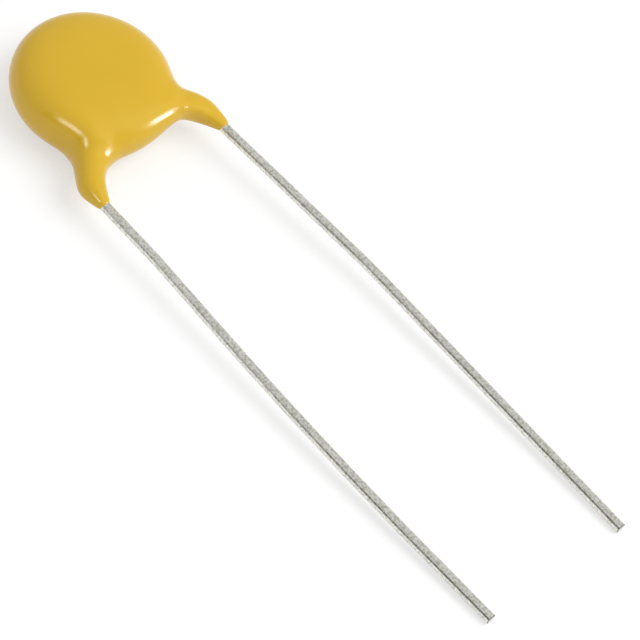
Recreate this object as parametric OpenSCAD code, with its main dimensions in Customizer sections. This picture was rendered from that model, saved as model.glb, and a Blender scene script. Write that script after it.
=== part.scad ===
// Leaded ceramic disc capacitor, lying on its flat side as it comes to rest.
// A fired ceramic disc carries a metal electrode on each face. A tinned wire is soldered to
// each electrode, steps down past the edge of the disc and bends at a knee to run away along -Y.
// The whole element is dipped in epoxy, which follows the two wires as a pair of legs.
// +Z points up through the front face of the disc, and the left wire is the one at -X.

/* [Wires] */
// Diameter of the tinned wire
wire_d = 0.65; // [0.5:0.01:0.8]
// Distance between the two wires at their knees
pitch = 10; // [8:0.1:12]
// Distance from the middle of the disc to the cut end of the left wire
left_reach = 40.4; // [30:0.1:50]
// Distance from the middle of the disc to the cut end of the right wire
right_reach = 40.8; // [30:0.1:50]
// Distance from the middle of the disc to the soldered end of each wire
solder_end = 0.9; // [0.7:0.05:1.2]
// Radius of the bend where a wire steps down past the edge of the ceramic
step_bend_r = 0.8; // [0.6:0.05:1.2]
// Radius of the bend at the knee
knee_bend_r = 1.2; // [0.8:0.05:1.6]

/* [Set of the bare wires] */
// Outward kink in the bare left wire, in degrees
left_kink = 2.4; // [0:0.1:4]
// Outward kink in the bare right wire, in degrees
right_kink = 2.35; // [0:0.05:4]
// Place of the left kink, as a share of the bare wire
left_kink_at = 0.14; // [0.01:0.01:0.2]
// Place of the right kink, as a share of the bare wire
right_kink_at = 0.01; // [0.01:0.01:0.2]
// Inward bow of the left wire past its kink, in degrees
left_bow = 3.7; // [0:0.1:6]
// Inward bow of the right wire past its kink, in degrees
right_bow = 2.85; // [0:0.05:6]
// Where the left bow begins, as a share of the bare wire
left_bow_from = 0.29; // [0.25:0.01:0.4]
// Where the right bow begins, as a share of the bare wire
right_bow_from = 0.34; // [0.25:0.01:0.4]
// Length of the left bow, as a share of the bare wire
left_bow_l = 0.58; // [0.05:0.01:0.58]
// Length of the right bow, as a share of the bare wire
right_bow_l = 0.05; // [0.05:0.01:0.58]
// Radius of each slight bend in a bare wire
slight_bend_r = 20; // [10:1:25]

/* [Ceramic element] */
// Diameter of the ceramic disc
ceramic_d = 7.6; // [6:0.1:9]
// Thickness of the ceramic disc
ceramic_t = 1.5; // [1:0.05:2.5]
// Width of bare ceramic around each electrode
electrode_margin = 0.4; // [0.2:0.05:0.8]
// Thickness of each fired electrode
electrode_t = 0.05; // [0.03:0.01:0.1]
// Thickness of solder between a wire and its electrode
solder_film = 0.05; // [0.03:0.01:0.1]
// Thickness of solder over the sides of a wire at its thickest
solder_cover = 0.3; // [0.2:0.02:0.4]
// Length of the solder past the end of a wire
solder_tail = 0.75; // [0.6:0.05:0.85]
// Length of the solder along a wire
solder_l = 3.2; // [2.6:0.1:3.6]
// Clearance between the edge of the ceramic and the step in a wire
step_gap = 0.15; // [0.1:0.05:0.4]

/* [Coating] */
// Thickness of the epoxy over the wires, on each face
face_cover = 0.55; // [0.3:0.05:0.9]
// Thickness of the epoxy around the edge of the ceramic
rim_cover = 1.2; // [0.9:0.05:1.6]
// Flatness of the two faces: 2 is a lens, 6 is nearly flat
face_flatness = 4.9; // [3:0.1:6]
// Sideways offset of the disc from the middle between the wires
disc_offset = 0.25; // [-0.5:0.05:0.5]
// Size of the fillets where the legs leave the disc
leg_fillet = 0.65; // [0.3:0.05:1]
// Radius of the web of epoxy that hangs between the roots of the legs
web_r = 1.08; // [0.8:0.02:1.3]
// Distance from each end of the web to the line of its wire
web_inset = 2.45; // [1.8:0.05:3]
// Depth of the web's centre line inside the edge of the disc
web_depth = 1.15; // [0.9:0.05:1.5]
// How far the roots of the legs follow the wires away from the middle plane
root_follow = 0.25; // [0:0.05:0.6]
// Inward offset of each leg's centre from its wire at the knee
knee_offset = 0.08; // [0:0.01:0.12]

/* [Left leg of the coating] */
// Distance from the edge of the disc to the knee of the left wire
left_knee_drop = 0.87; // [0.6:0.01:1.4]
// Distance from the knee of the left wire to the end of the leg
left_leg_l = 1.22; // [0.9:0.02:1.8]
// Epoxy over the left wire at the root of the leg
left_root_cover = 1.06; // [0.7:0.02:1.2]
// Epoxy over the left wire at the knee
left_knee_cover = 0.35; // [0.25:0.01:0.5]
// Epoxy over the left wire at the end of the leg
left_end_cover = 0.1; // [0.08:0.01:0.2]

/* [Right leg of the coating] */
// Distance from the edge of the disc to the knee of the right wire
right_knee_drop = 0.47; // [0.4:0.01:1.4]
// Distance from the knee of the right wire to the end of the leg
right_leg_l = 1.28; // [0.9:0.02:1.8]
// Epoxy over the right wire at the root of the leg
right_root_cover = 0.7; // [0.6:0.02:1.2]
// Epoxy over the right wire at the knee
right_knee_cover = 0.28; // [0.25:0.01:0.5]
// Epoxy over the right wire at the end of the leg
right_end_cover = 0.09; // [0.08:0.01:0.2]

/* [Hidden] */

LEFT = -1;
RIGHT = 1;
wire_r = wire_d / 2;
ceramic_r = ceramic_d / 2;
electrode_r = ceramic_r - electrode_margin;
coat_r = ceramic_r + rim_cover;
// Height of a wire's centre line over the middle plane, and half of the coating's thickness
wire_z = ceramic_t / 2 + electrode_t + solder_film + wire_r;
half_t = wire_z + wire_r + face_cover;
disc_centre = [disc_offset, 0, 0];

// How finely the coating's surface is divided
nose_steps = 6;
shank_steps = 2;
root_steps = 9;
body_steps = 46;
half_round_steps = 15;
knee_fillet = 0.4;
root_share = 0.9;
// Into how many slight bends each bow is divided, and the least one, in degrees
bow_bends = 4;
least_bend = 0.02;
joint_l = 0.00002;
$fn = 48;

// Values that differ from side to side
function pick(side, left, right) = side == LEFT ? left : right;
function knee_y(side) = -coat_r - pick(side, left_knee_drop, right_knee_drop);
function leg_end_y(side) = knee_y(side) - pick(side, left_leg_l, right_leg_l);
function root_r(side) = wire_r + pick(side, left_root_cover, right_root_cover);
function knee_r(side) = wire_r + pick(side, left_knee_cover, right_knee_cover);
function nose_r(side) = wire_r + pick(side, left_end_cover, right_end_cover);

function mix(a, b, t) = a + (b - a) * t;
function unit(v) = v / norm(v);

// The wires: each runs from the middle of the disc toward its knee, on its own electrode
function knee(side) = [side * pitch / 2, knee_y(side), 0];
function spoke(side) = unit(knee(side) - disc_centre);
function spoke_l(side) = norm(knee(side) - disc_centre);
function azimuth(side) = atan2(spoke(side).y, spoke(side).x);
function on_spoke(side, rho, z) = disc_centre + rho * spoke(side) + [0, 0, side * z];
function heading(side, degrees) = [side * sin(degrees), -cos(degrees), 0];

// Slight bends in the bare wire, each as its distance past the knee and its outward angle
function bare_bends(side) =
    let (
        leg_l = pick(side, left_leg_l, right_leg_l),
        bare_l = pick(side, left_reach, right_reach) + leg_end_y(side),
        bow = pick(side, left_bow, right_bow),
        bow_from = pick(side, left_bow_from, right_bow_from),
        bow_l = pick(side, left_bow_l, right_bow_l),
        kink_at = leg_l + bare_l * pick(side, left_kink_at, right_kink_at),
        kink = [kink_at, pick(side, left_kink, right_kink)],
        bends = [for (i = [0:bow_bends - 1])
            [leg_l + bare_l * (bow_from + bow_l * (i + 0.5) / bow_bends), -bow / bow_bends]]
    )
    [for (bend = concat([kink], bends)) if (abs(bend[1]) > least_bend) bend];
function bare_points(from, side, bends, done, angle, i = 0) =
    let (
        last = i == len(bends),
        down = (last ? done[1] : bends[i][0]) - done[0],
        at = from + heading(side, angle) * down / cos(angle)
    )
    last ? [at] : concat([at], bare_points(at, side, bends, [bends[i][0], done[1]], angle + bends[i][1], i + 1));
function wire_path(side) = concat(
    [on_spoke(side, solder_end, wire_z), on_spoke(side, ceramic_r + step_gap, wire_z), knee(side)],
    bare_points(knee(side), side, bare_bends(side), [0, pick(side, left_reach, right_reach) + knee_y(side)], 0)
);
function bend_radii(side) =
    [step_bend_r, knee_bend_r, for (bend = bare_bends(side)) slight_bend_r];

// Directions, angles and straight lengths along a path with rounded corners
function ways(path) = [for (i = [1:len(path) - 1]) unit(path[i] - path[i - 1])];
function turn(a, b) = round(atan2(norm(cross(a, b)), a * b) * 100) / 100;
function turns(path) = let (w = ways(path)) [for (i = [1:len(w) - 1]) turn(w[i - 1], w[i])];
function cut_backs(path, radii) =
    let (t = turns(path))
    [0, for (i = [0:len(t) - 1]) radii[i] * tan(t[i] / 2), 0];
function runs(path, radii) =
    let (c = cut_backs(path, radii))
    [for (i = [1:len(path) - 1]) norm(path[i] - path[i - 1]) - c[i - 1] - c[i]];
function roll(a, from, to) = atan2(cross(from, to) * a, from * to);
function rolls(path) =
    let (w = ways(path), axes = [for (i = [1:len(w) - 1]) unit(cross(w[i - 1], w[i]))])
    [0, for (i = [1:len(axes) - 1]) roll(w[i], axes[i - 1], axes[i])];

// The coating's surface, as the distance of a point outside it (negative inside)
function blend(a, b, size) =
    let (h = max(size - abs(a - b), 0) / size)
    min(a, b) - h * h * size / 4;
function cone_gap(p, a, b, ra, rb) =
    let (ab = b - a, t = max(0, min(1, (p - a) * ab / (ab * ab))))
    norm(p - a - t * ab) - mix(ra, rb, t);
function disc_gap(p) =
    let (
        across = pow(norm([p.x - disc_centre.x, p.y - disc_centre.y]) / coat_r, face_flatness),
        up = p.z / half_t,
        rim = min(across, 1)
    )
    (across + up * up - 1) / mix(2 / half_t, face_flatness / coat_r, rim);

// Centres of a leg at its root, at the knee and at its end
function root_rho(side) = coat_r - 0.2 * root_r(side);
function wire_height(side, rho) =
    let (step_rho = ceramic_r + step_gap)
    wire_z * (spoke_l(side) - rho) / (spoke_l(side) - step_rho);
function leg_root(side) =
    on_spoke(side, root_rho(side), root_follow * wire_height(side, root_rho(side)));
function leg_knee(side) = knee(side) - [side * knee_offset, 0, 0];
function leg_nose(side) =
    let (r = nose_r(side), back = sqrt(r * r - wire_r * wire_r))
    [side * pitch / 2, leg_end_y(side) + back, 0];
function leg_shape(side) = [
    leg_root(side), leg_knee(side), leg_nose(side), root_r(side), knee_r(side), nose_r(side)
];
function leg_gap(p, leg) = blend(
    cone_gap(p, leg[0], leg[1], leg[3], leg[4]),
    cone_gap(p, leg[1], leg[2], leg[4], leg[5]),
    knee_fillet
);
function web_end(side) = [side * (pitch / 2 - web_inset), web_depth - coat_r, 0];
function coating_gap(p, legs) =
    let (web = cone_gap(p, web_end(LEFT), web_end(RIGHT), web_r, web_r))
    blend(
        blend(blend(disc_gap(p), web, leg_fillet), leg_gap(p, legs[0]), leg_fillet),
        leg_gap(p, legs[1]),
        leg_fillet
    );

// Where a ray from inside the coating comes out: step outward, then close in
function step_out(from, way, legs, t, gap) =
    let (next = t + max(-0.9 * gap, 0.06), next_gap = coating_gap(from + next * way, legs))
    next_gap > 0 ? [t, gap, next, next_gap] : step_out(from, way, legs, next, next_gap);
function close_in(from, way, legs, span, turns_left) =
    let (t = span[0] - span[1] * (span[2] - span[0]) / (span[3] - span[1]))
    turns_left == 0 ? t :
    let (gap = coating_gap(from + t * way, legs))
    gap > 0
        ? close_in(from, way, legs, [span[0], span[1], t, gap], turns_left - 1)
        : close_in(from, way, legs, [t, gap, span[2], span[3]], turns_left - 1);
function way_out(from, way, legs) =
    close_in(from, way, legs, step_out(from, way, legs, 0, coating_gap(from, legs)), 3);

// A ring of points around the coating: out to one edge, over the top, and to the other edge
function ring(station, legs) =
    let (
        from = station[0],
        up = [0, 0, 1],
        top = way_out(from, up, legs),
        bottom = way_out(from, -up, legs),
        reach = [way_out(from, station[1], legs), way_out(from, station[2], legs)],
        step = 180 / half_round_steps
    )
    [for (half = [0, 1], i = [0:half_round_steps - 1])
        let (
            angle = half == 0 ? -90 + i * step : 90 - i * step,
            level = cos(angle) * reach[half] * station[1 + half],
            rise = sin(angle) * (angle > 0 ? top : bottom) * up,
            way = unit(level + rise)
        )
        from + way * way_out(from, way, legs)
    ];

// Stations along a leg, each with its centre and the ways to its outer and inner edge
function outward(side, share) =
    let (s = leg_root(side) - leg_knee(side), across = unit([side * s.y, -side * s.x, 0]))
    unit(mix([side, 0, 0], across, min(1, share)));
function station(from, out) = [from, out, -out];
function leg_stations(side, leg) = [
    for (i = [0:nose_steps - 1])
        let (angle = 70 * (1 - i / nose_steps))
        station(leg[2] - [0, leg[5] * sin(angle), 0], outward(side, 0)),
    for (i = [0:shank_steps])
        station(mix(leg[2], leg[1], i / (shank_steps + 1)), outward(side, 0)),
    for (i = [0:root_steps - 1])
        let (t = i / (root_steps - 1) * root_share)
        station(mix(leg[1], leg[0], t), outward(side, 0.25 + 1.5 * t))
];
// Stations across the disc: the outer way sweeps round the rim, the inner one along the web
function body_stations(legs) =
    let (
        a = mix(legs[0][1], legs[0][0], root_share),
        b = mix(legs[1][1], legs[1][0], root_share),
        out_a = outward(LEFT, 1),
        out_b = outward(RIGHT, 1),
        angle_a = (atan2(out_a.y, out_a.x) + 360) % 360,
        angle_b = atan2(out_b.y, out_b.x)
    )
    [for (i = [1:body_steps])
        let (
            u = 2 * i / (body_steps + 1) - 1,
            outer = mix(angle_a, angle_b, (u + 1) / 2),
            inner = -90 + (angle_a - 90) * pow(max(-u, 0), 2.5) + (angle_b - 90) * pow(max(u, 0), 2.5)
        )
        [mix(a, b, (u + 1) / 2), [cos(outer), sin(outer), 0], [cos(inner), sin(inner), 0]]
    ];
function reversed(list) = [for (i = [len(list) - 1:-1:0]) list[i]];

// The angle at which the part lies, with its disc and the ends of its wires on the ground
function disc_drop(tilt) = max([
    for (i = [0:60])
        let (rho = i / 60)
        rho * coat_r * sin(tilt) + half_t * sqrt(1 - pow(rho, face_flatness)) * cos(tilt)
]);
function wire_drop(tilt) = max(left_reach, right_reach) * sin(tilt) + wire_r * cos(tilt);
function find_tilt(low, high, turns_left) =
    let (tilt = (low + high) / 2)
    turns_left == 0 ? tilt :
    wire_drop(tilt) < disc_drop(tilt)
        ? find_tilt(tilt, high, turns_left - 1)
        : find_tilt(low, tilt, turns_left - 1);
rest_tilt = find_tilt(0, 20, 20);
// The origin is on the ground under the middle of the part's length
middle_y = (coat_r - max(left_reach, right_reach)) / 2 * cos(rest_tilt);

module at_rest() {
    translate([0, -middle_y, disc_drop(rest_tilt)]) rotate([rest_tilt, 0, 0]) children();
}

// A straight run of wire along +Z, then a bend toward +X and the next run. A thin disc closes
// each joint, so that rounded angles leave no crack in the wire.
module bent_wire(run, bend, radius, rolled, i = 0) {
    cylinder(r = wire_r, h = run[i]);
    if (i > 0) cylinder(r = wire_r, h = joint_l, center = true);
    if (i < len(bend))
        translate([0, 0, run[i]]) rotate([0, 0, rolled[i]]) {
            translate([radius[i], 0, 0]) rotate([90, 0, 180]) rotate_extrude(angle = bend[i])
                translate([radius[i], 0]) circle(r = wire_r);
            translate(radius[i] * [1 - cos(bend[i]), 0, sin(bend[i])]) rotate([0, bend[i], 0])
                bent_wire(run, bend, radius, rolled, i + 1);
        }
}

module wire(side) {
    path = wire_path(side);
    radii = bend_radii(side);
    // The first bend steps down to the middle plane: down from the front, up from the rear
    translate(path[0]) rotate([0, 90, azimuth(side)]) rotate([0, 0, side == RIGHT ? 0 : 180])
        bent_wire(runs(path, radii), turns(path), radii, rolls(path));
}

module ceramic_body() {
    translate(disc_centre) cylinder(r = ceramic_r, h = ceramic_t, center = true);
}

module electrode_body(side) {
    translate(disc_centre + [0, 0, side * (ceramic_t + electrode_t) / 2])
        cylinder(r = electrode_r, h = electrode_t, center = true);
}

// Solder: a spindle around the end of the wire, cut off flat where it wets the electrode
module solder_body(side) {
    a = wire_r + solder_cover;
    arc_r = (solder_l * solder_l / 4 + a * a) / (2 * a);
    difference() {
        translate(on_spoke(side, solder_end - solder_tail + solder_l / 2, wire_z))
            rotate([0, 90, azimuth(side)]) rotate_extrude() difference() {
                intersection() {
                    translate([a - arc_r, 0]) circle(r = arc_r, $fn = 180);
                    translate([0, -solder_l / 2]) square([a, solder_l]);
                }
                translate([0, solder_tail - solder_l / 2]) square([wire_r, solder_l]);
            }
        translate(disc_centre)
            cylinder(r = coat_r, h = ceramic_t + 2 * electrode_t, center = true);
    }
}

module coating_skin() {
    legs = [leg_shape(LEFT), leg_shape(RIGHT)];
    stations = concat(
        leg_stations(LEFT, legs[0]), body_stations(legs), reversed(leg_stations(RIGHT, legs[1]))
    );
    rings = [for (s = stations) ring(s, legs)];
    around = 2 * half_round_steps;
    last = len(rings) - 1;
    points = [for (r = rings) each r];
    sides = [
        for (i = [0:last - 1], j = [0:around - 1])
            let (a = i * around + j, b = i * around + (j + 1) % around)
            each [[a, b + around, b], [a, a + around, b + around]]
    ];
    ends = [[for (j = [0:around - 1]) j], [for (j = [around - 1:-1:0]) last * around + j]];
    polyhedron(points, concat(sides, ends), convexity = 6);
}

module epoxy_coating() {
    color("#d9b236") at_rest() difference() {
        coating_skin();
        ceramic_body();
        electrode_body(LEFT);
        electrode_body(RIGHT);
        solder_body(LEFT);
        solder_body(RIGHT);
        wire(LEFT);
        wire(RIGHT);
    }
}

module ceramic_disc() {
    color("#cfc3ac") at_rest() ceramic_body();
}

module front_electrode() {
    color("#c9ccd0") at_rest() electrode_body(RIGHT);
}

module rear_electrode() {
    color("#c9ccd0") at_rest() electrode_body(LEFT);
}

module left_lead() {
    color("#c8c8b8") at_rest() wire(LEFT);
}

module right_lead() {
    color("#c8c8b8") at_rest() wire(RIGHT);
}

module front_solder() {
    color("#aeb0b0") at_rest() solder_body(RIGHT);
}

module rear_solder() {
    color("#aeb0b0") at_rest() solder_body(LEFT);
}

epoxy_coating();
ceramic_disc();
front_electrode();
rear_electrode();
left_lead();
right_lead();
front_solder();
rear_solder();
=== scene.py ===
import math

import bmesh
import bpy
import numpy as np
from mathutils import Matrix, Vector


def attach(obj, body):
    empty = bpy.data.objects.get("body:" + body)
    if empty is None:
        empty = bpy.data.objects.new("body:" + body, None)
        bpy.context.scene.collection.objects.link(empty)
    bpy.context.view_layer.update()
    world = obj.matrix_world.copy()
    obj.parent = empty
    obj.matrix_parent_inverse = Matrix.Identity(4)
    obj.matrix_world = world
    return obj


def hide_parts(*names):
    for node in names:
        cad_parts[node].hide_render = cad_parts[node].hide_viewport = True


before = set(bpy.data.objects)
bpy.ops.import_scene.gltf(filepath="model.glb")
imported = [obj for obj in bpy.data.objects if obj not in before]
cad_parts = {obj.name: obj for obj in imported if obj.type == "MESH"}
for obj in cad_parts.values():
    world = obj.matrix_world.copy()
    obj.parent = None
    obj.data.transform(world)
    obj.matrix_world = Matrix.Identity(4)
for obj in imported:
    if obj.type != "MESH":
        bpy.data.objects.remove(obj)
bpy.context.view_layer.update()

# Dipped coating. One skin of golden-yellow epoxy over the whole ceramic element: a disc with
# flat faces and a round rim, which runs down the two wires as legs with a web between them.
# It is dipped, drips off the wires and is baked, so every edge is drawn round by its own surface.
MM = 0.001
LEFT, RIGHT = -1, 1
UP = np.array([0, 0, 1.0])

# All sizes are millimetres about the disc. REST lays the part on its edge and its wires' ends.
REST_Y, REST_Z, REST_TILT = 17.8825, 2.12681, 2.53158
REST = (
    Matrix.Translation((0, REST_Y * MM, REST_Z * MM))
    @ Matrix.Rotation(math.radians(REST_TILT), 4, "X")
    @ Matrix.Scale(MM, 4)
)

# The wires that the epoxy runs down: the left one on the rear face, the right one on the front
WIRE_R = 0.325
HALF_PITCH = 5.0
WIRE_Z = 1.175
FACE = {LEFT: -1, RIGHT: 1}
KNEE_Y = {LEFT: -5.86, RIGHT: -5.44}
CERAMIC_R = 3.8
STEP_GAP = 0.15
STEP_RHO = CERAMIC_R + STEP_GAP

# The disc
DISC_CENTRE = np.array([0.25, 0, 0])
COAT_R = 5.0
HALF_T = 2.05
FACE_FLATNESS = 4.9

# The web between the legs: a cone from one end to the other
WEB_R = {LEFT: 1.0, RIGHT: 0.86}
WEB_INSET = {LEFT: 2.65, RIGHT: 2.5}
WEB_DEPTH = {LEFT: 1.2, RIGHT: 0.85}
WEB_Z = {LEFT: -0.05, RIGHT: 0.5}
WEB_FILLET = 0.85

# The shoulder above the left leg, as two corners seen from above
SHOULDER = ((-3.2, -1.0), (-2.75, -3.1))
SHOULDER_R = 1.05
SHOULDER_Z = 0.6
SHOULDER_FILLET = 0.5

# The crest over the right wire: its start, the point that it bends toward, and its end
CREST = ((0.99, -3.72, 1.28), (2.9, -4.1, 1.3), (4.82, -5.95, 0.31))
CREST_R = 0.3
CREST_FILLET = 0.2
CREST_STEPS = 12

# The legs: root, shin, knee and nose, each the wire's radius and the epoxy over it
ROOT_DEPTH = 0.15
ROOT_RHO = COAT_R - ROOT_DEPTH
ROOT_FOLLOW = 0.45
SHIN_AT = 0.5
SHIN_FOLLOW = 0.35
KNEE_INSET = 0.21
KNEE_RISE = 0.17
LEG_END_Y = {LEFT: -7.29, RIGHT: -6.92}
LEG_END_RISE = 0.06
ROOT_R = {LEFT: WIRE_R + 0.92, RIGHT: WIRE_R + 0.46}
SHIN_R = {LEFT: WIRE_R + 0.56, RIGHT: WIRE_R + 0.48}
KNEE_R = {LEFT: WIRE_R + 0.47, RIGHT: WIRE_R + 0.38}
NOSE_R = {LEFT: WIRE_R + 0.16, RIGHT: WIRE_R + 0.14}
LEG_FILLET = 0.95
KNEE_FILLET = 0.45


def unit(v):
    return v / np.linalg.norm(v, axis=-1, keepdims=True)


def knee(side):
    return np.array([side * HALF_PITCH, KNEE_Y[side], 0])


def on_spoke(side, rho, z):
    """A point rho from the disc's centre toward the knee, and z out on the wire's own face."""
    spoke = unit(knee(side) - DISC_CENTRE)
    return DISC_CENTRE + rho * spoke + np.array([0, 0, FACE[side] * z])


def followed(side, rho, follow):
    """A point on that spoke, which follows the wire's slope away from the face by a share."""
    spoke_l = np.linalg.norm(knee(side) - DISC_CENTRE)
    return on_spoke(side, rho, follow * WIRE_Z * (spoke_l - rho) / (spoke_l - STEP_RHO))


def leg_root(side):
    return followed(side, ROOT_RHO, ROOT_FOLLOW)


def leg_shin(side):
    knee_rho = np.linalg.norm(knee(side) - DISC_CENTRE)
    return followed(side, knee_rho + (ROOT_RHO - knee_rho) * SHIN_AT, SHIN_FOLLOW)


def leg_knee(side):
    return knee(side) + np.array([-side * KNEE_INSET, KNEE_RISE, 0])


def leg_nose(side):
    back = math.sqrt(NOSE_R[side] ** 2 - WIRE_R**2)
    return np.array([side * HALF_PITCH, LEG_END_Y[side] + back, LEG_END_RISE])


def melt(a, b, size):
    """Joins two gaps as wet epoxy would, with a fillet of about that size."""
    h = np.maximum(size - np.abs(a - b), 0) / size
    return np.minimum(a, b) - h * h * size / 4


def cone_gap(p, a, b, ra, rb):
    """Gap from each point p to a round-ended cone between a and b."""
    ab = b - a
    t = np.clip((p - a) @ ab / (ab @ ab), 0, 1)
    return np.linalg.norm(p - a - t[:, None] * ab, axis=1) - (ra + (rb - ra) * t)


def disc_gap(p):
    """Gap to the disc: round at the rim, and flatter on its faces the higher FACE_FLATNESS is."""
    rho = np.linalg.norm(p[:, :2] - DISC_CENTRE[:2], axis=1) / COAT_R
    across = rho**FACE_FLATNESS
    up = p[:, 2] / HALF_T
    steep = 2 / HALF_T + (FACE_FLATNESS / COAT_R - 2 / HALF_T) * np.minimum(across, 1)
    return (across + up * up - 1) / steep


def crest_gap(p):
    """The crest where the coating lies over the right wire, as a bead along a bent line."""
    start, bend, end = (np.array(place) for place in CREST)
    line = [
        start * (1 - t) ** 2 + bend * 2 * t * (1 - t) + end * t**2
        for t in np.linspace(0, 1, CREST_STEPS)
    ]
    beads = [cone_gap(p, a, b, CREST_R, CREST_R) for a, b in zip(line, line[1:])]
    return np.min(beads, axis=0)


def coating_gap(p):
    """Gap from each point p to the coating's surface, less than 0 inside the epoxy."""
    web_left, web_right = (
        np.array([side * (HALF_PITCH - WEB_INSET[side]), WEB_DEPTH[side] - COAT_R, WEB_Z[side]])
        for side in (LEFT, RIGHT)
    )
    web = cone_gap(p, web_left, web_right, WEB_R[LEFT], WEB_R[RIGHT])
    gap = melt(disc_gap(p), web, WEB_FILLET)
    low, high = (np.array([*place, SHOULDER_Z]) for place in SHOULDER)
    gap = melt(gap, cone_gap(p, low, high, SHOULDER_R, SHOULDER_R), SHOULDER_FILLET)
    for side in (LEFT, RIGHT):
        root, shin, bend, nose = (f(side) for f in (leg_root, leg_shin, leg_knee, leg_nose))
        leg = melt(
            cone_gap(p, root, shin, ROOT_R[side], SHIN_R[side]),
            cone_gap(p, shin, bend, SHIN_R[side], KNEE_R[side]),
            KNEE_FILLET,
        )
        leg = melt(leg, cone_gap(p, bend, nose, KNEE_R[side], NOSE_R[side]), KNEE_FILLET)
        gap = melt(gap, leg, LEG_FILLET)
    return melt(gap, crest_gap(p), CREST_FILLET)


STRIDE = 0.05
HALVINGS = 22


def way_out(start, way):
    """How far the coating's surface is from each start point, along its way."""
    near, far = np.zeros(len(start)), np.zeros(len(start))
    looking = np.ones(len(start), bool)
    while looking.any():
        far[looking] += STRIDE
        gap = coating_gap(start[looking] + far[looking, None] * way[looking])
        inside = gap < 0
        index = np.where(looking)[0]
        near[index[inside]] = far[index[inside]]
        looking[index[~inside]] = False
    for _ in range(HALVINGS):
        middle = (near + far) / 2
        inside = coating_gap(start + middle[:, None] * way) < 0
        near = np.where(inside, middle, near)
        far = np.where(inside, far, middle)
    return (near + far) / 2


def outward(side, share):
    """The way out of a leg's outer flank: level by the nose, square to the shin by the root."""
    up_shin = leg_root(side) - leg_knee(side)
    across = unit(np.array([side * up_shin[1], -side * up_shin[0], 0]))
    return unit(np.array([side, 0, 0]) * (1 - share) + across * share)


# The skin is made of rings, at stations from the left leg's nose over the body to the right
# one's. A leg's stations end at ROOT_SHARE of the way from its knee to its root, and the rings
# turn from level to square to the shin: by KNEE_TURN at the knee, and by ROOT_TURN on the way.
NOSE_RINGS, SHANK_RINGS, ROOT_RINGS, BODY_RINGS = 14, 14, 40, 150
NOSE_SPAN = 84
KNEE_TURN, ROOT_TURN = 0.25, 1.5
ROOT_SHARE = 0.9


def leg_stations(side):
    """A leg's stations from the nose up: the middle, and the ways to its two flanks."""
    nose, bend, root = leg_nose(side), leg_knee(side), leg_root(side)
    stations = []
    for i in range(NOSE_RINGS):
        angle = math.radians(NOSE_SPAN * (1 - i / NOSE_RINGS))
        at = nose - np.array([0, NOSE_R[side] * math.sin(angle), 0])
        stations.append((at, outward(side, 0), -outward(side, 0)))
    for i in range(SHANK_RINGS):
        at = nose + (bend - nose) * i / SHANK_RINGS
        share = KNEE_TURN * (i / SHANK_RINGS) ** 2
        stations.append((at, outward(side, share), -outward(side, share)))
    for i in range(ROOT_RINGS):
        t = i / (ROOT_RINGS - 1) * ROOT_SHARE
        share = min(1, KNEE_TURN + ROOT_TURN * t)
        at = bend + (root - bend) * t
        stations.append((at, outward(side, share), -outward(side, share)))
    return stations


def body_stations():
    """The body's stations, from leg to leg. The outer way swings over the top of the disc, and
    the inner one through straight down to the web."""
    a, b = (leg_knee(s) + (leg_root(s) - leg_knee(s)) * ROOT_SHARE for s in (LEFT, RIGHT))
    out_a, out_b = outward(LEFT, 1), outward(RIGHT, 1)
    angle_a = math.degrees(math.atan2(out_a[1], out_a[0])) % 360
    angle_b = math.degrees(math.atan2(out_b[1], out_b[0]))
    stations = []
    for i in range(1, BODY_RINGS + 1):
        u = 2 * i / (BODY_RINGS + 1) - 1
        outer = math.radians(angle_a + (angle_b - angle_a) * (u + 1) / 2)
        inner = math.radians(-90 + (angle_a - 90) * max(-u, 0) + (angle_b - 90) * max(u, 0))
        stations.append((
            a + (b - a) * (u + 1) / 2,
            np.array([math.cos(outer), math.sin(outer), 0]),
            np.array([math.cos(inner), math.sin(inner), 0]),
        ))
    return stations


stations = leg_stations(LEFT) + body_stations() + leg_stations(RIGHT)[::-1]
centres, outer_ways, inner_ways = (np.array([s[i] for s in stations]) for i in range(3))
ups = np.repeat(UP[None], len(stations), axis=0)
reach_outer, reach_inner = way_out(centres, outer_ways), way_out(centres, inner_ways)
reach_top, reach_bottom = way_out(centres, ups), way_out(centres, -ups)

# A ball with one ring for each station is moved onto the surface, poles at the noses
AROUND = 112
skin = bmesh.new()
bmesh.ops.create_uvsphere(skin, u_segments=AROUND, v_segments=len(stations) + 1, radius=1)
skin.verts.ensure_lookup_table()
ball = np.array([v.co for v in skin.verts])
down = np.arccos(np.clip(ball[:, 2], -1, 1)) / math.pi
ring = np.rint(down * (len(stations) + 1)).astype(int) - 1
pole = (ring < 0) | (ring >= len(stations))
ring = np.clip(ring, 0, len(stations) - 1)
turn = np.arctan2(ball[:, 1], ball[:, 0])
level = np.where(
    (np.cos(turn) > 0)[:, None],
    outer_ways[ring] * reach_outer[ring, None],
    inner_ways[ring] * reach_inner[ring, None],
) * np.abs(np.cos(turn))[:, None]
reach_up = np.where(np.sin(turn) > 0, reach_top[ring], reach_bottom[ring])
rise = np.sin(turn)[:, None] * reach_up[:, None] * UP
way = unit(level + rise)
start = centres[ring]
way[pole] = [0, -1, 0]
start[pole] = np.where((ball[pole, 2] > 0)[:, None], leg_nose(LEFT), leg_nose(RIGHT))
surface = start + way * way_out(start, way)[:, None]
for v, spot in zip(skin.verts, surface):
    v.co = spot

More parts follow.
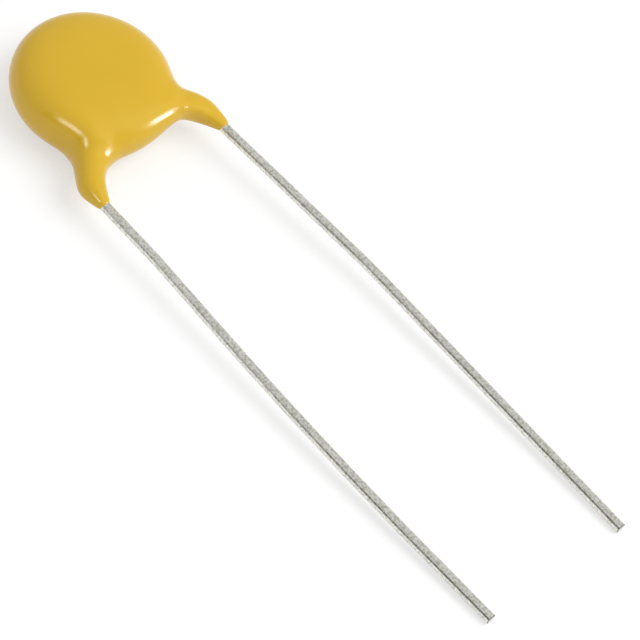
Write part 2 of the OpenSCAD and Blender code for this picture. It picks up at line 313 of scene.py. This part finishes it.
# Wet epoxy settles: the skin is drawn smooth all over, and more so on the slim legs
SETTLING, LEG_SETTLING = 16, 90
SHIN_RINGS = 28
LEG_RINGS = NOSE_RINGS + SHANK_RINGS + SHIN_RINGS
on_legs = [v for v, r in zip(skin.verts, ring) if min(r, len(stations) - 1 - r) < LEG_RINGS]
for wet, times in ((skin.verts, SETTLING), (on_legs, LEG_SETTLING)):
    for _ in range(times):
        bmesh.ops.smooth_vert(
            skin, verts=wet, factor=0.5, use_axis_x=True, use_axis_y=True, use_axis_z=True
        )
bmesh.ops.transform(skin, matrix=REST, verts=skin.verts)
bmesh.ops.recalc_face_normals(skin, faces=skin.faces)
for face in skin.faces:
    face.smooth = True
coating = bpy.data.objects.new("dipped_coating", bpy.data.meshes.new("dipped_coating"))
skin.to_mesh(coating.data)
skin.free()
bpy.context.scene.collection.objects.link(coating)


def hex_colour(code):
    """An sRGB hex colour as the linear values that a shader works in."""
    parts = [int(code[i : i + 2], 16) / 255 for i in (1, 3, 5)]
    return [c / 12.92 if c <= 0.04045 else ((c + 0.055) / 1.055) ** 2.4 for c in parts] + [1.0]


def add_node(material, kind, settings=None, **links):
    """Adds a node. A setting goes to the property or input of that name or number, and a link
    runs from an output into the input of that name, or into input number 0 for i0."""
    node = material.node_tree.nodes.new(kind)
    for key, value in (settings or {}).items():
        if isinstance(key, str) and hasattr(node, key):
            setattr(node, key, value)
        else:
            node.inputs[key].default_value = value
    for key, output in links.items():
        numbered = key[0] == "i" and key[1:].isdigit()
        socket = node.inputs[int(key[1:]) if numbered else key.replace("_", " ")]
        material.node_tree.links.new(output, socket)
    return node


def new_material(name):
    """A node material with only a Principled shader and an output."""
    material = bpy.data.materials.new(name)
    material.use_nodes = True
    return material, material.node_tree.nodes["Principled BSDF"]


# Dipping epoxy: a filled, opaque resin that sets with a wet gloss. It mirrors the lamps softly,
# and is very faintly clouded where the filler has settled.
CLOUD_W = 4 * MM
epoxy, shader = new_material("dipped_epoxy")
place = add_node(epoxy, "ShaderNodeTexCoord").outputs["Object"]
clouds = add_node(
    epoxy, "ShaderNodeTexNoise",
    {"Scale": 1 / CLOUD_W, "Detail": 3.0, "Roughness": 0.55},
    Vector=place,
)
tone = add_node(
    epoxy, "ShaderNodeMix",
    {"data_type": "RGBA", 6: hex_colour("#c9a21b"), 7: hex_colour("#cfa823")},
    i0=clouds.outputs["Fac"],
)
epoxy.node_tree.links.new(tone.outputs[2], shader.inputs["Base Color"])
shader.inputs["Roughness"].default_value = 0.2
shader.inputs["IOR"].default_value = 1.53
shader.inputs["Specular IOR Level"].default_value = 0.4
coating.data.materials.append(epoxy)
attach(coating, "root")
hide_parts("epoxy_coating")

# The two leads. Tinned copper-clad steel wire, drawn to 0.65 mm, cut with a nipper after the
# parts are taken off their tape. Each is soldered to its electrode, steps down past the edge
# of the ceramic, turns at a knee and runs away straight but for a slight kink and bow.
STEP_BEND_R, KNEE_BEND_R, SLIGHT_BEND_R = 0.8, 1.2, 20.0
SOLDER_END = 0.9
# Where each wire comes out of the epoxy, and how far it reaches from the disc's centre
FREE_Y = {LEFT: -7.09, RIGHT: -6.75}
REACH = {LEFT: 40.4, RIGHT: 40.8}
# The kink: its place as a share of the bare wire, and its angle in degrees
KINK = {LEFT: (0.14, 2.4), RIGHT: (0.01, 2.35)}
# The bow back: its start and length as shares of the bare wire, and its angle, in small bends
BOW = {LEFT: (0.29, 0.58, 3.7), RIGHT: (0.34, 0.05, 2.85)}
BOW_BENDS = 4
# The nipped end: a narrow rounded rim, as steps on along the wire, each scaled by its share
NIPPED_STEPS = ((0.03, 0.97), (0.01, 0.9))
WIRE_SEGMENTS = 64
BEND_STEP = 3
TINNED_SKIN, NIPPED_FACE, SHEARED_RIM = 0, 1, 2


def wire_path(side):
    """The corners of a lead's centre line, in millimetres."""
    leg_l, bare_l = KNEE_Y[side] - FREE_Y[side], REACH[side] + FREE_Y[side]
    bends = [(leg_l + bare_l * KINK[side][0], KINK[side][1])]
    start_at, length, bow = BOW[side]
    for i in range(BOW_BENDS):
        along = start_at + length * (i + 0.5) / BOW_BENDS
        bends.append((leg_l + bare_l * along, -bow / BOW_BENDS))
    path = [on_spoke(side, SOLDER_END, WIRE_Z), on_spoke(side, STEP_RHO, WIRE_Z), knee(side)]
    done, angle = 0, 0
    for down, bend in bends + [(REACH[side] + KNEE_Y[side], 0)]:
        heading = np.array([side * math.sin(angle), -math.cos(angle), 0])
        path.append(path[-1] + heading * (down - done) / math.cos(angle))
        done, angle = down, angle + math.radians(bend)
    return path


def of_kind(made, kind):
    """The vertices, the edges or the faces among what an operator made."""
    return [g for g in made if isinstance(g, kind)]


def bend_wire(side):
    """Extrudes and spins a circle along the path, with a rounded corner at each bend."""
    path = [Vector(p) for p in wire_path(side)]
    radii = [STEP_BEND_R, KNEE_BEND_R] + [SLIGHT_BEND_R] * (len(path) - 4)
    wire = bmesh.new()
    first = (path[1] - path[0]).normalized()
    bmesh.ops.create_circle(wire, segments=WIRE_SEGMENTS, radius=WIRE_R)
    facing = Matrix.Translation(path[0]) @ first.to_track_quat("Z", "Y").to_matrix().to_4x4()
    bmesh.ops.transform(wire, matrix=facing, verts=wire.verts)
    bmesh.ops.edgeloop_fill(wire, edges=wire.edges[:])
    open_end = wire.edges[:]
    at = path[0]

    for i in range(1, len(path)):
        way_in = (path[i] - path[i - 1]).normalized()
        corner = i < len(path) - 1
        angle, cut = 0.0, 0.0
        if corner:
            way_on = (path[i + 1] - path[i]).normalized()
            angle = way_in.angle(way_on)
            cut = radii[i - 1] * math.tan(angle / 2)
        target = path[i] - way_in * cut
        made = bmesh.ops.extrude_edge_only(wire, edges=open_end)["geom"]
        bmesh.ops.translate(wire, vec=target - at, verts=of_kind(made, bmesh.types.BMVert))
        open_end = of_kind(made, bmesh.types.BMEdge)
        at = target
        if corner:
            axis = way_in.cross(way_on).normalized()
            toward = axis.cross(way_in)
            centre = at + toward * radii[i - 1]
            made = bmesh.ops.spin(
                wire, geom=open_end, cent=centre, axis=axis, angle=angle,
                steps=max(2, round(math.degrees(angle) / BEND_STEP)), use_duplicate=False,
            )["geom_last"]
            open_end = of_kind(made, bmesh.types.BMEdge)
            at = path[i] + way_on * cut
    way_in = (path[-1] - path[-2]).normalized()
    for onward, share in NIPPED_STEPS:
        made = bmesh.ops.extrude_edge_only(wire, edges=open_end)["geom"]
        for face in of_kind(made, bmesh.types.BMFace):
            face.material_index = SHEARED_RIM
        verts = of_kind(made, bmesh.types.BMVert)
        open_end = of_kind(made, bmesh.types.BMEdge)
        bmesh.ops.translate(wire, vec=way_in * onward, verts=verts)
        middle = sum((v.co for v in verts), Vector()) / len(verts)
        bmesh.ops.scale(wire, vec=(share,) * 3, verts=verts, space=Matrix.Translation(-middle))
    for face in bmesh.ops.edgeloop_fill(wire, edges=open_end)["faces"]:
        face.material_index = NIPPED_FACE
    bmesh.ops.transform(wire, matrix=REST, verts=wire.verts)
    bmesh.ops.recalc_face_normals(wire, faces=wire.faces)
    for face in wire.faces:
        face.smooth = face.material_index == TINNED_SKIN and len(face.verts) == 4
    return wire


# Hot-tinned wire: matte-bright tin over steel. Wiping leaves it with soft lengthwise streaks and
# a mottle of frozen grains, so reflections are drawn out along the wire. The real grains are
# finer than the render can show, so the mottle is drawn about twice as coarse.
STREAK_W, STREAK_L = 0.08 * MM, 2.5 * MM
STREAK_SHARE = 0.35
MOTTLE_W = 0.16 * MM
PIT_DEPTH = 0.02 * MM
tinned, shader = new_material("tinned_wire")
place = add_node(tinned, "ShaderNodeTexCoord").outputs["Object"]
drawn = add_node(
    tinned, "ShaderNodeMapping",
    {"Scale": (1 / STREAK_W, 1 / STREAK_L, 1 / STREAK_W)},
    Vector=place,
)
streaks = add_node(
    tinned, "ShaderNodeTexNoise",
    {"Scale": 1.0, "Detail": 3.0, "Roughness": 0.6},
    Vector=drawn.outputs["Vector"],
)
mottle = add_node(
    tinned, "ShaderNodeTexNoise",
    {"Scale": 1 / MOTTLE_W, "Detail": 3.0, "Roughness": 0.65},
    Vector=place,
)
both = add_node(
    tinned, "ShaderNodeMath",
    {"operation": "MULTIPLY_ADD", 1: STREAK_SHARE},
    i0=streaks.outputs["Fac"], i2=mottle.outputs["Fac"],
)
pitted = add_node(
    tinned, "ShaderNodeMapRange",
    {"From Min": 0.52, "From Max": 0.78},
    Value=both.outputs["Value"],
)
tone = add_node(
    tinned, "ShaderNodeMix",
    {"data_type": "RGBA", 6: hex_colour("#bdbcb0"), 7: hex_colour("#f1f0e9")},
    i0=pitted.outputs["Result"],
)
tinned.node_tree.links.new(tone.outputs[2], shader.inputs["Base Color"])
matte = add_node(
    tinned, "ShaderNodeMapRange",
    {"To Min": 0.22, "To Max": 0.36},
    Value=mottle.outputs["Fac"],
)
tinned.node_tree.links.new(matte.outputs["Result"], shader.inputs["Roughness"])
bump = add_node(
    tinned, "ShaderNodeBump",
    {"Strength": 0.35, "Distance": PIT_DEPTH},
    Height=both.outputs["Value"],
)
tinned.node_tree.links.new(bump.outputs["Normal"], shader.inputs["Normal"])
shader.inputs["Metallic"].default_value = 1.0

# The sheared rim round each nipped face: a dull burr of steel and tin, ragged in patches.
PATCH_W = 0.15 * MM
burr_and_painted_shade, shader = new_material("sheared_rim")
place = add_node(burr_and_painted_shade, "ShaderNodeTexCoord").outputs["Object"]
ragged = add_node(
    burr_and_painted_shade, "ShaderNodeTexNoise",
    {"Scale": 1 / PATCH_W, "Detail": 3.0, "Roughness": 0.6},
    Vector=place,
)
# Its dark tones are partly the steel's own and partly painted shade round the cut face.
tone = add_node(
    burr_and_painted_shade, "ShaderNodeMix",
    {"data_type": "RGBA", 6: hex_colour("#4f4e48"), 7: hex_colour("#8d8c84")},
    i0=ragged.outputs["Fac"],
)
burr_and_painted_shade.node_tree.links.new(tone.outputs[2], shader.inputs["Base Color"])
shader.inputs["Roughness"].default_value = 0.5
shader.inputs["Metallic"].default_value = 1.0

# The nipped faces: bare steel, burnished bright by the blades, with shear lines across. The
# lines are drawn coarser than the real ones, which the render can't show.
SHEAR_L, SHEAR_W = 0.4 * MM, 0.06 * MM
nipped, shader = new_material("nipped_steel")
place = add_node(nipped, "ShaderNodeTexCoord").outputs["Object"]
across = add_node(
    nipped, "ShaderNodeMapping",
    {"Scale": (1 / SHEAR_L, 1 / SHEAR_L, 1 / SHEAR_W)},
    Vector=place,
)
shear = add_node(
    nipped, "ShaderNodeTexNoise",
    {"Scale": 1.0, "Detail": 2.0, "Roughness": 0.5},
    Vector=across.outputs["Vector"],
)
matte = add_node(
    nipped, "ShaderNodeMapRange",
    {"To Min": 0.3, "To Max": 0.5},
    Value=shear.outputs["Fac"],
)
nipped.node_tree.links.new(matte.outputs["Result"], shader.inputs["Roughness"])
shader.inputs["Base Color"].default_value = hex_colour("#d4d4d2")
shader.inputs["Metallic"].default_value = 1.0

for side, name in ((LEFT, "left"), (RIGHT, "right")):
    wire = bend_wire(side)
    lead = bpy.data.objects.new(name + "_wire", bpy.data.meshes.new(name + "_wire"))
    wire.to_mesh(lead.data)
    wire.free()
    bpy.context.scene.collection.objects.link(lead)
    for material in (tinned, nipped, burr_and_painted_shade):
        lead.data.materials.append(material)
    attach(lead, "root")
    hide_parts(name + "_lead")

# The fired ceramic disc inside: a dense titanate, dry pressed and sintered, off-white and dull.
# Its grain is a few thousandths of a millimetre, and is drawn far coarser so that it shows.
GRAIN_W = 0.2 * MM
ceramic, shader = new_material("sintered_titanate")
place = add_node(ceramic, "ShaderNodeTexCoord").outputs["Object"]
grain = add_node(
    ceramic, "ShaderNodeTexNoise",
    {"Scale": 1 / GRAIN_W, "Detail": 4.0},
    Vector=place,
)
tone = add_node(
    ceramic, "ShaderNodeMix",
    {"data_type": "RGBA", 6: hex_colour("#c9bda5"), 7: hex_colour("#d6ccb6")},
    i0=grain.outputs["Fac"],
)
ceramic.node_tree.links.new(tone.outputs[2], shader.inputs["Base Color"])
shader.inputs["Roughness"].default_value = 0.6


def dress(name, material):
    """Gives one of the solids inside its material. Their shapes are the real ones already."""
    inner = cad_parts[name]
    inner.data.materials.clear()
    inner.data.materials.append(material)


dress("ceramic_disc", ceramic)

# The electrodes: silver paste, printed on both faces and fired, so it is satin and faintly
# porous. The pores are drawn coarser than the real ones so that they show.
PORE_W = 0.1 * MM
silver, shader = new_material("fired_silver")
place = add_node(silver, "ShaderNodeTexCoord").outputs["Object"]
pores = add_node(
    silver, "ShaderNodeTexNoise",
    {"Scale": 1 / PORE_W, "Detail": 3.0},
    Vector=place,
)
matte = add_node(
    silver, "ShaderNodeMapRange",
    {"To Min": 0.35, "To Max": 0.6},
    Value=pores.outputs["Fac"],
)
silver.node_tree.links.new(matte.outputs["Result"], shader.inputs["Roughness"])
shader.inputs["Base Color"].default_value = hex_colour("#d2d4d6")
shader.inputs["Metallic"].default_value = 1.0
dress("front_electrode", silver)
dress("rear_electrode", silver)

# The solder: a bead around the end of each wire, melted onto its electrode. It is bright where
# it froze smooth and dull where it crystallised.
CRYSTAL_W = 0.15 * MM
solder, shader = new_material("soft_solder")
place = add_node(solder, "ShaderNodeTexCoord").outputs["Object"]
crystals = add_node(solder, "ShaderNodeTexVoronoi", {"Scale": 1 / CRYSTAL_W}, Vector=place)
matte = add_node(
    solder, "ShaderNodeMapRange",
    {"To Min": 0.2, "To Max": 0.5},
    Value=crystals.outputs["Distance"],
)
solder.node_tree.links.new(matte.outputs["Result"], shader.inputs["Roughness"])
shader.inputs["Base Color"].default_value = hex_colour("#b9bbbb")
shader.inputs["Metallic"].default_value = 1.0
dress("front_solder", solder)
dress("rear_solder", solder)

# The floor: a sheet of white studio paper, three metres square, that the part lies on. It is
# blown out to white by WHITE_SHARE where the camera sees it, straight or in a reflection, and
# its own matte surface keeps the part's soft shadow.
FLOOR_HALF = 1.5
WHITE_SHARE = 0.55
paper, shader = new_material("studio_paper")
shader.inputs["Base Color"].default_value = hex_colour("#f7f7f7")
shader.inputs["Roughness"].default_value = 0.9
shader.inputs["Specular IOR Level"].default_value = 0.1
white = add_node(paper, "ShaderNodeEmission", {"Color": (1, 1, 1, 1), "Strength": 1.0})
ray = add_node(paper, "ShaderNodeLightPath")
seen = add_node(
    paper, "ShaderNodeMath",
    {"operation": "ADD"},
    i0=ray.outputs["Is Camera Ray"], i1=ray.outputs["Is Glossy Ray"],
)
seen = add_node(
    paper, "ShaderNodeMath",
    {"operation": "ADD"},
    i0=seen.outputs["Value"], i1=ray.outputs["Is Transmission Ray"],
)
share = add_node(
    paper, "ShaderNodeMath",
    {"operation": "MULTIPLY", 1: WHITE_SHARE},
    i0=seen.outputs["Value"],
)
mixed = add_node(
    paper, "ShaderNodeMixShader",
    i0=share.outputs["Value"], i1=shader.outputs["BSDF"], i2=white.outputs["Emission"],
)
surface_in = paper.node_tree.nodes["Material Output"].inputs["Surface"]
paper.node_tree.links.new(mixed.outputs["Shader"], surface_in)
sheet = bmesh.new()
bmesh.ops.create_grid(sheet, x_segments=1, y_segments=1, size=FLOOR_HALF)
floor = bpy.data.objects.new("floor", bpy.data.meshes.new("floor"))
sheet.to_mesh(floor.data)
sheet.free()
bpy.context.scene.collection.objects.link(floor)
floor.data.materials.append(paper)

# The light: an even white tent all round, and a large soft box that lights the part but isn't
# mirrored in it. Two small cards are only mirrored: the key card at the front right, which
# makes the bright streak on the web, and the strip card at the left, which draws the line
# along the coating's shoulder.
TENT_LEVEL = 0.7
world = bpy.data.worlds.new("tent")
bpy.context.scene.world = world
world.use_nodes = True
world.node_tree.nodes["Background"].inputs["Color"].default_value = (1, 1, 1, 1)
world.node_tree.nodes["Background"].inputs["Strength"].default_value = TENT_LEVEL


def from_bearing(bearing, height, distance):
    """The way to a place at that bearing, from +Y toward +X, and that height, in degrees."""
    b, h = math.radians(bearing), math.radians(height)
    return Vector((math.sin(b) * math.cos(h), math.cos(b) * math.cos(h), math.sin(h))) * distance


COATING_MIDDLE = Vector((0, 0.017, 0.002))


def hang_lamp(name, bearing, height, distance, size, power, mirrored):
    """A lamp that either lights the part, or is only mirrored in what is glossy."""
    lamp = bpy.data.lights.new(name, "AREA")
    lamp.shape, lamp.size, lamp.size_y, lamp.energy = "RECTANGLE", size[0], size[1], power
    box = bpy.data.objects.new(name, lamp)
    offset = from_bearing(bearing, height, distance)
    box.location = COATING_MIDDLE + offset
    box.rotation_euler = offset.to_track_quat("Z", "Y").to_euler()
    box.visible_diffuse, box.visible_glossy = not mirrored, mirrored
    bpy.context.scene.collection.objects.link(box)
    return box


LAMP_DISTANCE = 0.6
hang_lamp("soft_box", 140, 52, LAMP_DISTANCE, size=(0.5, 0.5), power=2.6, mirrored=False)
hang_lamp("key_card", 142, 13, LAMP_DISTANCE, size=(0.1, 0.16), power=1.6, mirrored=True)
strip_card = hang_lamp(
    "strip_card", 260, 33, LAMP_DISTANCE, size=(0.16, 0.2), power=0.9, mirrored=True
)
# The strip is kept off the wires, as a snoot would
lit_by_strip = bpy.data.collections.new("lit_by_strip")
lit_by_strip.objects.link(coating)
strip_card.light_linking.receiver_collection = lit_by_strip

# A flag of dark felt stands at the left beside the camera. The wires mirror it as a thin dark
# line, and it keeps the white floor and tent out of the coating's left edge.
FLAG_BEARING, FLAG_HEIGHT, FLAG_DISTANCE = 253, 24, 0.9
FLAG_LENGTH, FLAG_WIDTH = 1.2, 0.46
felt, shader = new_material("dark_felt")
shader.inputs["Base Color"].default_value = hex_colour("#3c3c3a")
shader.inputs["Roughness"].default_value = 1.0
card = bmesh.new()
bmesh.ops.create_grid(card, x_segments=1, y_segments=1, size=0.5)
bmesh.ops.scale(card, vec=(FLAG_LENGTH, FLAG_WIDTH, 1), verts=card.verts)
offset = from_bearing(FLAG_BEARING, FLAG_HEIGHT, FLAG_DISTANCE)
facing = Matrix.Translation(offset) @ (-offset).to_track_quat("Z", "Y").to_matrix().to_4x4()
bmesh.ops.transform(card, matrix=facing, verts=card.verts)
flag = bpy.data.objects.new("flag", bpy.data.meshes.new("flag"))
card.to_mesh(flag.data)
card.free()
bpy.context.scene.collection.objects.link(flag)
flag.data.materials.append(felt)
flag.visible_camera = flag.visible_diffuse = flag.visible_shadow = False

# The camera stands where the photograph was taken from, with a long lens. Its place, its turn
# and its focal length come from a fit to the part's outline in the photograph.
IMAGE_PX = 640
SENSOR_W = 36.0
CAMERA_AT = Vector((-99.9179, -59.0836, 147.6941)) * MM
CAMERA_RIGHT = Vector((0.70184, -0.67809, 0.21821))
CAMERA_UP = Vector((0.46668, 0.66913, 0.57834))
FOCAL_PX = 3211.73
camera = bpy.data.objects.new("camera", bpy.data.cameras.new("camera"))
back = CAMERA_RIGHT.cross(CAMERA_UP).normalized()
right = CAMERA_UP.cross(back).normalized()
up = back.cross(right)
turned = Matrix((right, up, back)).transposed().to_4x4()
camera.matrix_world = Matrix.Translation(CAMERA_AT) @ turned
camera.data.sensor_width = SENSOR_W
camera.data.lens = FOCAL_PX * SENSOR_W / IMAGE_PX
camera.data.clip_start = 0.01
# The fitted lens axis is half a pixel beside the middle of the image
camera.data.shift_x = -0.5 / IMAGE_PX
bpy.context.scene.collection.objects.link(camera)
bpy.context.scene.camera = camera
bpy.context.scene.view_settings.view_transform = "Standard"
